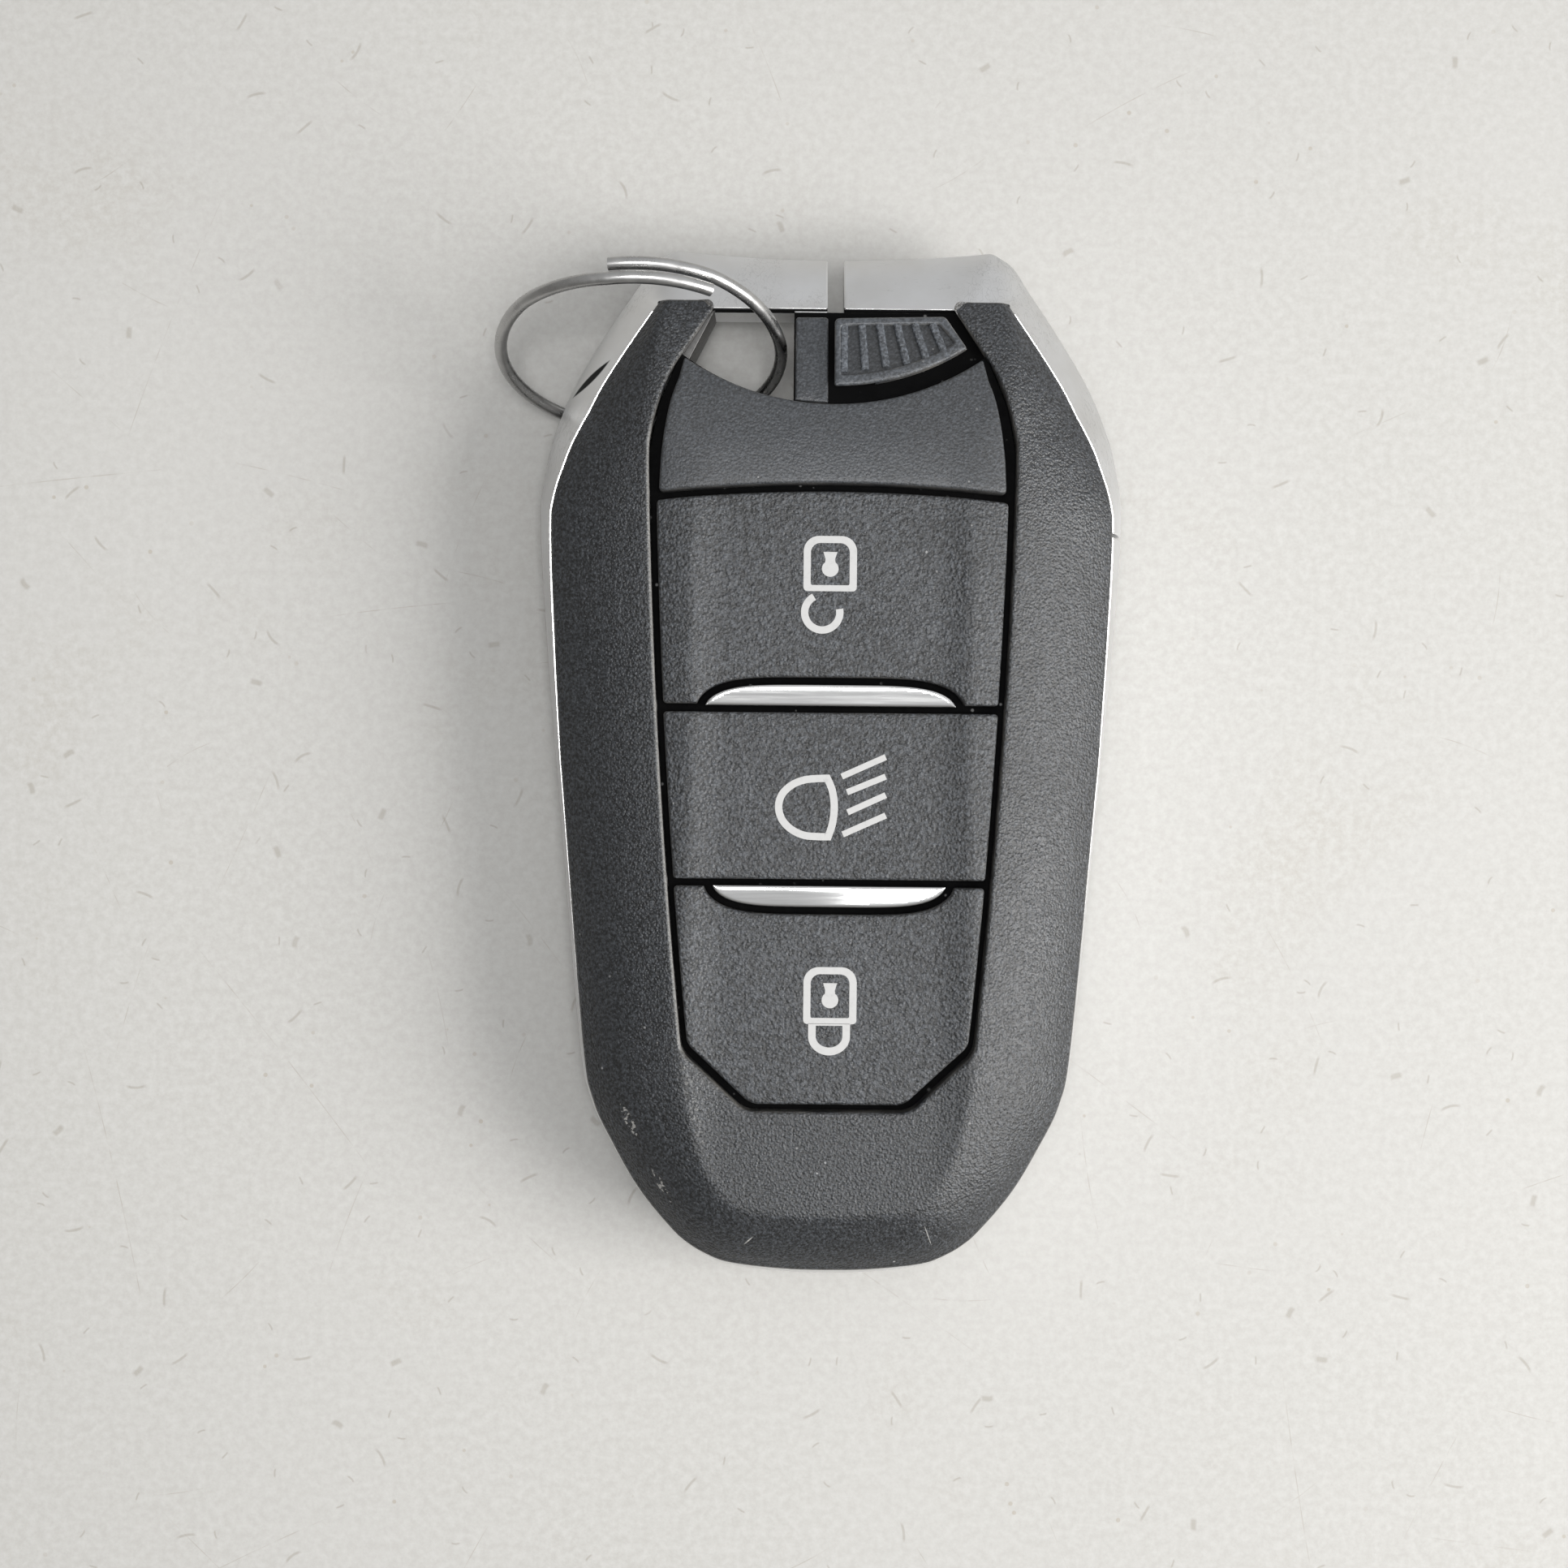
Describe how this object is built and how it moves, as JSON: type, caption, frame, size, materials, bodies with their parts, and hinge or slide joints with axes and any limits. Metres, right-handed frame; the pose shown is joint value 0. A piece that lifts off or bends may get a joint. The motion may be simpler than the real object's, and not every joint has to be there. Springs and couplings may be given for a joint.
{
  "type": "car key fob",
  "caption": "Proximity car key fob: clipped black case with a silver band, push buttons, a pull-out emergency key with its release slider, and a wire key ring.",
  "frame": {"origin": "centre of the flat rear cover, on the face that the fob rests on", "axes": "+Z out of the button face, +Y towards the ring end, +X to the right seen from the button face"},
  "size_m": [0.0477, 0.078, 0.0202],
  "materials": {
    "shell_black": "fine spark-eroded grain, matte",
    "panel_black": "fine spark-eroded grain, matte",
    "button_black": "coarser grain, matte, pale printed symbols",
    "band_silver": "satin, with a polished upper edge",
    "trim_chrome": "bright",
    "blade_steel": "nickel plated, milled",
    "spring_steel": "drawn wire",
    "ring_wire": "zinc plated wire, dulled",
    "carrier_grey": "moulded",
    "board_green": "solder mask",
    "mat_rubber": "soft, dull",
    "switch_pale": "moulded",
    "plunger_red": "moulded",
    "cell_steel": "nickel plated can",
    "contact_gilt": "sprung strip",
    "ferrite": "sintered",
    "winding_copper": "enamelled wire",
    "chip_black": "moulded, bare",
    "crystal_can": "plated can"
  },
  "bodies": {
    "case": {"front_frame": "shell_black", "front_panel": "panel_black", "upper_trim_bar": "trim_chrome", "lower_trim_bar": "trim_chrome", "bezel": "band_silver", "slider_spring": "spring_steel", "rear_shell": "shell_black", "inner_carrier": "carrier_grey", "circuit_board": "board_green", "keypad_mat": "mat_rubber", "switch_bodies": "switch_pale", "coin_cell": "cell_steel", "positive_contact": "contact_gilt", "negative_contact": "contact_gilt", "antenna_core": "ferrite", "antenna_winding": "winding_copper", "control_chip": "chip_black", "crystal": "crystal_can"},
    "unlock_key": {"unlock_button": "button_black", "unlock_plunger": "plunger_red"},
    "light_key": {"light_button": "button_black", "light_plunger": "plunger_red"},
    "lock_key": {"lock_button": "button_black", "lock_plunger": "plunger_red"},
    "slider": {"release_slider": "panel_black"},
    "emergency_key": {"key_head": "band_silver", "key_core": "shell_black", "key_blade": "blade_steel", "blade_pin": "blade_steel"},
    "cover": {"rear_cover": "shell_black"},
    "ring": {"key_ring": "ring_wire"}
  },
  "joints": [
    {"name": "unlock_press", "type": "slide", "parent": "case", "child": "unlock_key", "axis": [0, 0, -1], "range_m": [0, 0.0005], "stiffness_N_per_m": 1500},
    {"name": "light_press", "type": "slide", "parent": "case", "child": "light_key", "axis": [0, 0, -1], "range_m": [0, 0.0005], "stiffness_N_per_m": 1500},
    {"name": "lock_press", "type": "slide", "parent": "case", "child": "lock_key", "axis": [0, 0, -1], "range_m": [0, 0.0005], "stiffness_N_per_m": 1500},
    {"name": "slider_slide", "type": "slide", "parent": "case", "child": "slider", "axis": [-1, 0, 0], "range_m": [0, 0.0025], "stiffness_N_per_m": 400, "deforming": ["slider_spring"]},
    {"name": "key_pull", "type": "slide", "parent": "case", "child": "emergency_key", "axis": [0, 1, 0], "range_m": [0, 0.055]},
    {"name": "cover_lift", "type": "slide", "parent": "case", "child": "cover", "axis": [0, 0, -1], "range_m": [0, 0.012]},
    {"name": "ring_swing", "type": "hinge", "parent": "case", "child": "ring", "pos_m": [-0.0039, 0.0305, 0.00998], "axis": [0, 0, 1], "range_deg": [-45, 5]}
  ]
}
